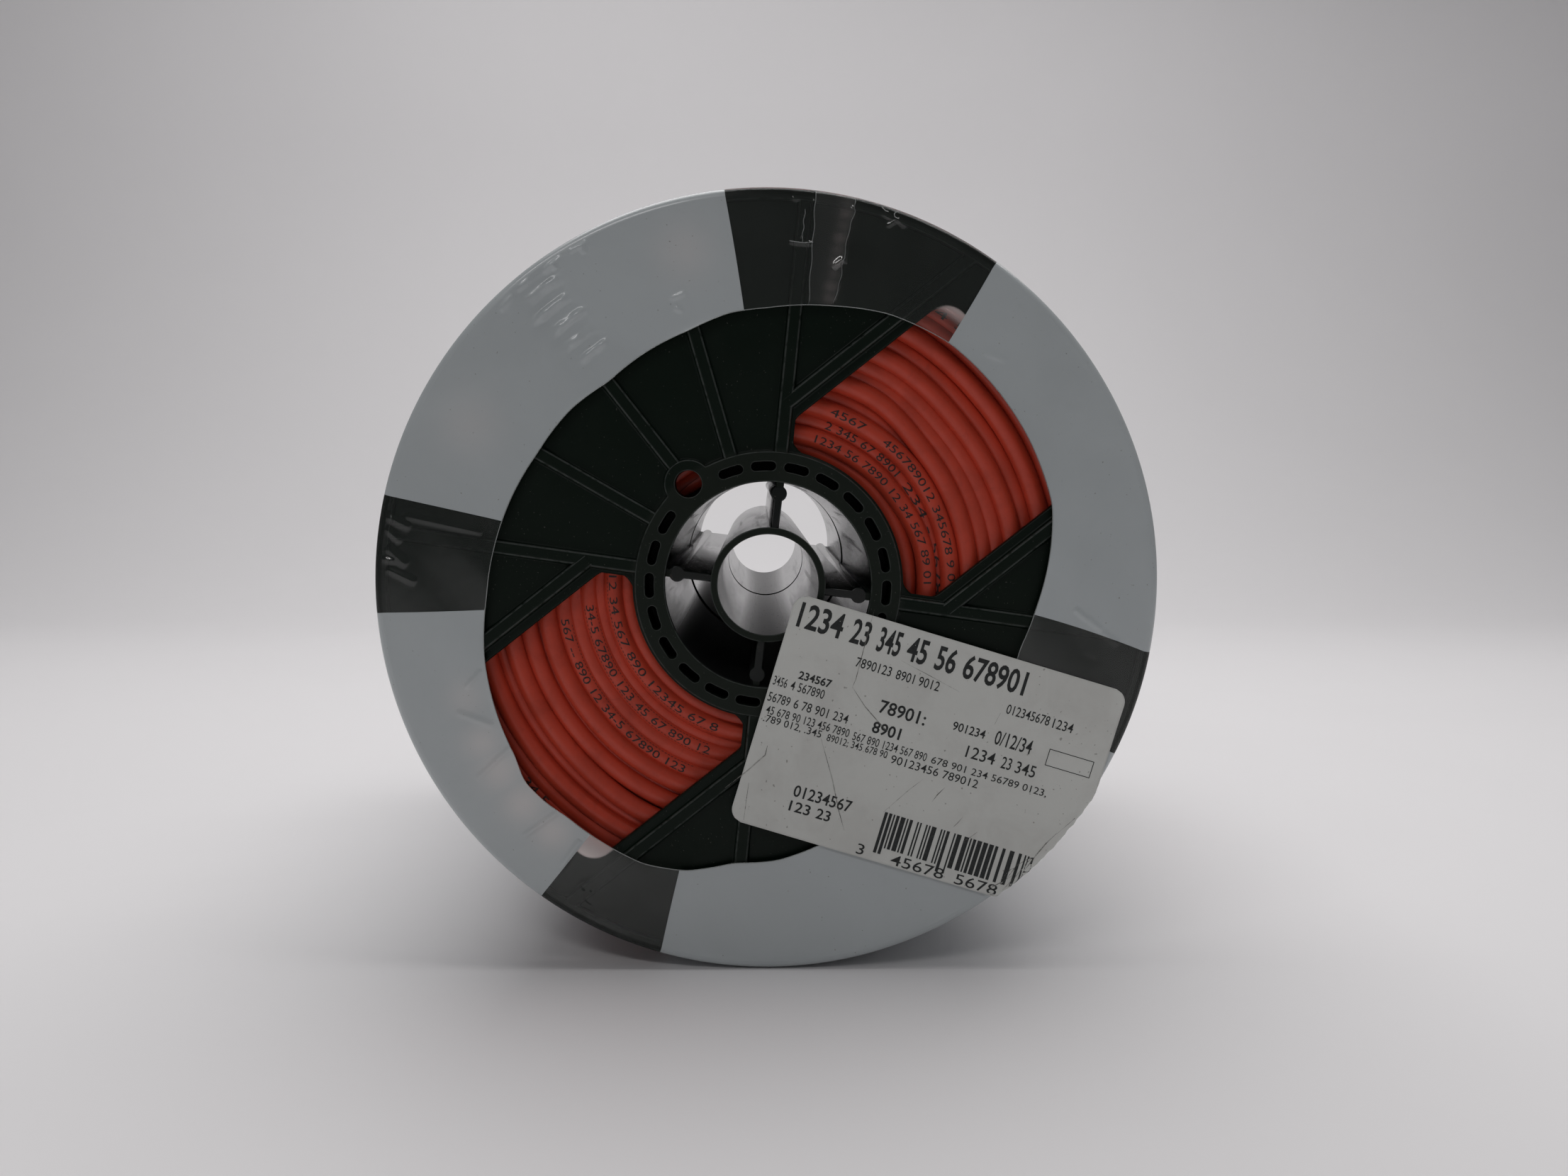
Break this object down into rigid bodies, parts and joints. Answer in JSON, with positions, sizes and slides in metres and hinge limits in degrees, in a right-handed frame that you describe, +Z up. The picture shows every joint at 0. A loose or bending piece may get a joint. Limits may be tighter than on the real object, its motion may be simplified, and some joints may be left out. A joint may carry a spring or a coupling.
{
  "type": "coil of electrical wire on a spool",
  "caption": "Full two-flange plastic spool of insulated electrical wire, shrink-wrapped, with a paper label on one flange; it lies on its rims and pays out from a rod through its arbor.",
  "frame": {"origin": "on the floor under the middle of the spool, at the centre of the bottom of its bounding box", "axes": "+Z up; the spool's axis runs along Y, with the labelled front flange toward -Y and the back flange toward +Y"},
  "size_m": [0.166, 0.2018, 0.1661],
  "materials": {
    "spool_plastic": "moulded black plastic, semi-gloss, scuffed and dusty",
    "wire_jacket": "smooth orange-red wire jacket with a soft sheen",
    "shrink_film": "thin glossy shrink film with pale blue-grey printed panels and clear gaps",
    "label_paper": "white adhesive paper label, creased and marked"
  },
  "bodies": {
    "root": {"spool_front_half": "spool_plastic", "spool_back_half": "spool_plastic", "wire_coil": "wire_jacket", "shrink_film": "shrink_film", "paper_label": "label_paper"}
  },
  "joints": []
}
